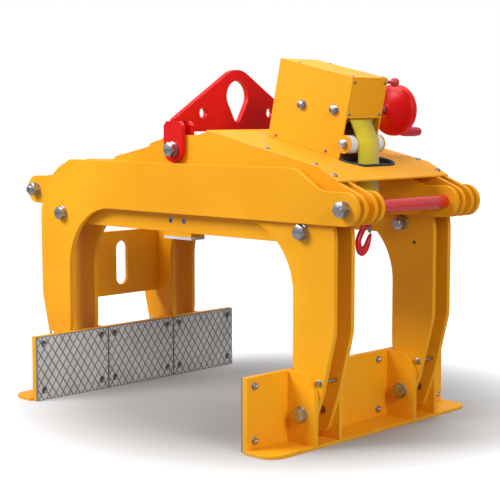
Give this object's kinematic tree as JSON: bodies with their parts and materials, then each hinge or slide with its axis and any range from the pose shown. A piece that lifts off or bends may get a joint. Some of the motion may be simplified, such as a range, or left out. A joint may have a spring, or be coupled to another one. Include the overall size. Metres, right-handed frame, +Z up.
{
  "type": "scissor clamp",
  "caption": "Scissor clamp: crossed arms on a gable frame close two upright rubber-faced jaws, with a tilting lifting bracket and a hand strap winch.",
  "frame": {"origin": "on the floor under the middle of the clamp, at the bottom centre of its box", "axes": "+X in the clamping direction towards the winch side, +Y along the jaws towards the handwheel, +Z up"},
  "size_m": [1.1799, 0.736, 0.8775],
  "materials": {
    "yellow_paint": "powder-coated signal yellow, satin",
    "red_paint": "painted red, gloss",
    "zinc_steel": "bright zinc plated",
    "grey_rubber": "grey rubber with a diamond pattern",
    "pale_rubber": "pale grey rubber",
    "white_nylon": "white plastic",
    "red_plastic": "red moulded plastic",
    "webbing": "woven olive-yellow webbing"
  },
  "bodies": {
    "root": {"frame_outer_near_plate": "yellow_paint", "frame_outer_far_plate": "yellow_paint", "frame_inner_near_plate": "yellow_paint", "frame_inner_far_plate": "yellow_paint", "right_cover": "yellow_paint", "left_cover": "yellow_paint", "cover_screws": "zinc_steel", "stop_blocks": "yellow_paint", "stop_block_rubbers": "pale_rubber", "stop_block_bolts": "zinc_steel", "pivot_bolts": "zinc_steel", "pivot_sleeves": "red_paint", "pivot_spacers": "zinc_steel", "bracket_pins": "zinc_steel", "winch_near_side": "yellow_paint", "winch_far_side": "yellow_paint", "winch_end_panels": "yellow_paint", "winch_lid": "yellow_paint", "winch_flanges": "yellow_paint", "roller_bolt": "zinc_steel", "drum_shaft": "zinc_steel", "lever_bolt": "zinc_steel", "winch_strap": "webbing"},
    "left_arm": {"left_arm_outer_near_plate": "yellow_paint", "left_arm_outer_far_plate": "yellow_paint", "left_arm_inner_near_plate": "yellow_paint", "left_arm_inner_far_plate": "yellow_paint", "left_arm_bolts": "zinc_steel", "slot_plate": "yellow_paint"},
    "right_arm": {"right_arm_outer_near_plate": "yellow_paint", "right_arm_outer_far_plate": "yellow_paint", "right_arm_inner_near_plate": "yellow_paint", "right_arm_inner_far_plate": "yellow_paint", "right_arm_bolts": "zinc_steel"},
    "left_jaw": {"left_jaw_plate": "yellow_paint", "left_jaw_foot": "yellow_paint", "left_jaw_ribs": "yellow_paint", "left_jaw_pins": "zinc_steel", "left_jaw_pads": "grey_rubber", "left_jaw_pad_screws": "zinc_steel"},
    "right_jaw": {"right_jaw_plate": "yellow_paint", "right_jaw_foot": "yellow_paint", "right_jaw_ribs": "yellow_paint", "right_jaw_pins": "zinc_steel", "right_jaw_pads": "grey_rubber", "right_jaw_pad_screws": "zinc_steel"},
    "lifting_bracket": {"bracket_plate": "red_paint", "bracket_straps": "red_paint"},
    "drum": {"winch_drum": "zinc_steel", "strap_roll": "webbing", "drum_gear": "zinc_steel"},
    "crank": {"crank_shaft": "zinc_steel", "handwheel": "red_paint", "crank_grip_bolt": "zinc_steel"},
    "grip": {"crank_grip": "red_plastic"},
    "roller": {"strap_roller": "white_nylon"},
    "lever": {"lock_lever": "zinc_steel", "lock_knob": "red_plastic"},
    "hook": {"hook": "red_paint"},
    "latch": {"hook_latch": "zinc_steel"}
  },
  "joints": [
    {"name": "left_arm_pivot", "type": "hinge", "parent": "root", "child": "left_arm", "pos_m": [0.553, 0, 0.541], "axis": [0, -1, 0], "range_deg": [0, 28.5]},
    {"name": "right_arm_pivot", "type": "hinge", "parent": "root", "child": "right_arm", "pos_m": [-0.553, 0, 0.541], "axis": [0, 1, 0], "range_deg": [0, 28.5]},
    {"name": "left_jaw_pivot", "type": "hinge", "parent": "left_arm", "child": "left_jaw", "pos_m": [-0.433, 0, 0.074], "axis": [0, 1, 0], "range_deg": [0, 28.5]},
    {"name": "right_jaw_pivot", "type": "hinge", "parent": "right_arm", "child": "right_jaw", "pos_m": [0.433, 0, 0.074], "axis": [0, -1, 0], "range_deg": [0, 28.5]},
    {"name": "bracket_tilt", "type": "hinge", "parent": "root", "child": "lifting_bracket", "pos_m": [0, 0, 0.66], "axis": [0, 1, 0], "range_deg": [-18, 18]},
    {"name": "drum_spin", "type": "hinge", "parent": "root", "child": "drum", "pos_m": [0.28498, 0, 0.76606], "axis": [0, 1, 0], "continuous": true},
    {"name": "crank_spin", "type": "hinge", "parent": "root", "child": "crank", "pos_m": [0.38384, 0, 0.75408], "axis": [0, 1, 0], "continuous": true},
    {"name": "grip_spin", "type": "hinge", "parent": "crank", "child": "grip", "pos_m": [0.40084, 0.2, 0.70177], "axis": [0, 1, 0], "continuous": true},
    {"name": "roller_spin", "type": "hinge", "parent": "root", "child": "roller", "pos_m": [0.41202, 0, 0.67551], "axis": [0, 1, 0], "continuous": true},
    {"name": "lock_lever_tilt", "type": "hinge", "parent": "root", "child": "lever", "pos_m": [0.40004, 0.067, 0.79588], "axis": [0, 1, 0], "range_deg": [-20, 20]},
    {"name": "hook_swing", "type": "hinge", "parent": "root", "child": "hook", "pos_m": [0.43492, 0, 0.533], "axis": [0, 1, 0], "range_deg": [-40, 40]},
    {"name": "latch_flap", "type": "hinge", "parent": "hook", "child": "latch", "pos_m": [0.43492, 0.0005, 0.487], "axis": [-1, 0, 0], "range_deg": [0, 35], "stiffness_Nm_per_rad": 0.05, "springref_deg": -28.65}
  ],
  "couplings": [
    {"joint": "right_arm_pivot", "follows": "left_arm_pivot", "ratio": 1},
    {"joint": "left_jaw_pivot", "follows": "left_arm_pivot", "ratio": 1},
    {"joint": "right_jaw_pivot", "follows": "left_arm_pivot", "ratio": 1},
    {"joint": "crank_spin", "follows": "drum_spin", "ratio": -3}
  ]
}
